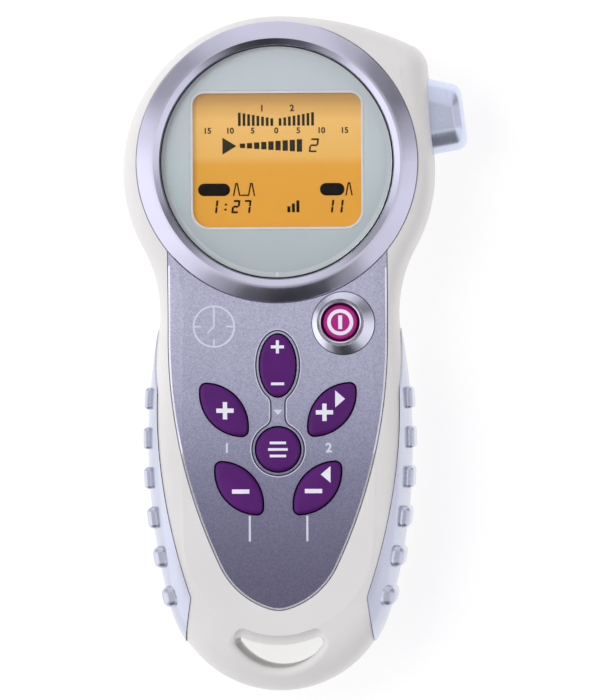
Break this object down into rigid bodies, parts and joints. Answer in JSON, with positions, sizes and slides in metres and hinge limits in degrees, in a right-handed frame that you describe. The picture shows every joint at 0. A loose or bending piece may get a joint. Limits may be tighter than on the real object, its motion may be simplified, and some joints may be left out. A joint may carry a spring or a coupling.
{
  "type": "tens unit",
  "caption": "Hand-held two-channel nerve stimulator with a round backlit display, bezel ring, purple keys, side push button, ribbed side grips and a crescent lanyard slot.",
  "frame": {"origin": "on the flat back, on the casing's long axis, half way along its length", "axes": "+Z out of the front face and display, +Y towards the display end, +X towards the side button"},
  "size_m": [0.0689, 0.135, 0.027],
  "materials": {
    "shell_white": "satin white moulded casing",
    "lilac_panel": "fine-grained lilac metallic paint",
    "lilac_plated": "smooth lilac metallic plating",
    "silver_plated": "turned silver plating",
    "lens_clear": "clear polished window",
    "mask_print": "grey-green printed film",
    "frame_pale": "pale satin plastic",
    "lcd_amber": "backlit amber liquid crystal display",
    "lightguide": "frosted light guide",
    "strip_rubber": "layered conductive elastomer",
    "key_purple": "satin purple silicone",
    "key_magenta": "satin magenta silicone",
    "sheet_grey": "matt grey silicone",
    "board_green": "solder-masked glass-fibre board",
    "chip_black": "matt black moulding compound",
    "core_grey": "ferrite core and winding",
    "can_metal": "drawn can",
    "cell_label": "plain printed sleeve over the can",
    "dome_metal": "stamped dome",
    "spring_steel": "nickel-plated spring steel",
    "socket_black": "black socket moulding",
    "screw_steel": "zinc-plated screw"
  },
  "bodies": {
    "casing": {"front_shell": "shell_white", "rear_shell": "shell_white", "control_panel": "lilac_panel", "bezel_ring": "lilac_plated", "display_lens": "lens_clear", "display_mask": "mask_print", "lcd_frame": "frame_pale", "lcd_glass": "lcd_amber", "lcd_backlight": "lightguide", "lcd_connectors": "strip_rubber", "power_surround": "silver_plated", "boost_switch": "chip_black", "boost_spring": "spring_steel", "right_grip": "lilac_plated", "left_grip": "lilac_plated", "keypad_sheet": "sheet_grey", "key_domes": "dome_metal", "main_board": "board_green", "controller_chips": "chip_black", "output_transformers": "core_grey", "capacitors": "can_metal", "buzzer": "chip_black", "lead_socket_left": "socket_black", "lead_socket_right": "socket_black", "cell_left": "cell_label", "cell_right": "cell_label", "cell_springs": "spring_steel", "cell_contacts": "spring_steel", "case_screws": "screw_steel"},
    "battery_door": {"battery_door": "shell_white"},
    "power_key": {"power_key": "key_magenta"},
    "level_rocker": {"level_rocker": "key_purple"},
    "mode_key": {"mode_key": "key_purple"},
    "ch1_plus_key": {"ch1_plus_key": "key_purple"},
    "ch1_minus_key": {"ch1_minus_key": "key_purple"},
    "ch2_plus_key": {"ch2_plus_key": "key_purple"},
    "ch2_minus_key": {"ch2_minus_key": "key_purple"},
    "boost_button": {"boost_button": "lilac_plated"}
  },
  "joints": [
    {"name": "power_press", "type": "slide", "parent": "casing", "child": "power_key", "axis": [0, 0, -1], "range_m": [0, 0.0007], "stiffness_N_per_m": 600, "springref_m": -0.0004},
    {"name": "mode_press", "type": "slide", "parent": "casing", "child": "mode_key", "axis": [0, 0, -1], "range_m": [0, 0.0007], "stiffness_N_per_m": 600, "springref_m": -0.0004},
    {"name": "ch1_plus_press", "type": "slide", "parent": "casing", "child": "ch1_plus_key", "axis": [0, 0, -1], "range_m": [0, 0.0007], "stiffness_N_per_m": 600, "springref_m": -0.0004},
    {"name": "ch1_minus_press", "type": "slide", "parent": "casing", "child": "ch1_minus_key", "axis": [0, 0, -1], "range_m": [0, 0.0007], "stiffness_N_per_m": 600, "springref_m": -0.0004},
    {"name": "ch2_plus_press", "type": "slide", "parent": "casing", "child": "ch2_plus_key", "axis": [0, 0, -1], "range_m": [0, 0.0007], "stiffness_N_per_m": 600, "springref_m": -0.0004},
    {"name": "ch2_minus_press", "type": "slide", "parent": "casing", "child": "ch2_minus_key", "axis": [0, 0, -1], "range_m": [0, 0.0007], "stiffness_N_per_m": 600, "springref_m": -0.0004},
    {"name": "level_rocker_tilt", "type": "hinge", "parent": "casing", "child": "level_rocker", "pos_m": [0, -0.0024, 0.0224], "axis": [1, 0, 0], "range_deg": [-3.5, 3.5], "stiffness_Nm_per_rad": 0.02},
    {"name": "boost_press", "type": "slide", "parent": "casing", "child": "boost_button", "axis": [-0.9976, -0.0698, 0], "range_m": [0, 0.002], "stiffness_N_per_m": 900, "springref_m": -0.001, "deforming": ["boost_spring"]},
    {"name": "battery_door_open", "type": "hinge", "parent": "casing", "child": "battery_door", "pos_m": [0, 0.0087, 0], "axis": [1, 0, 0], "range_deg": [0, 60]}
  ]
}
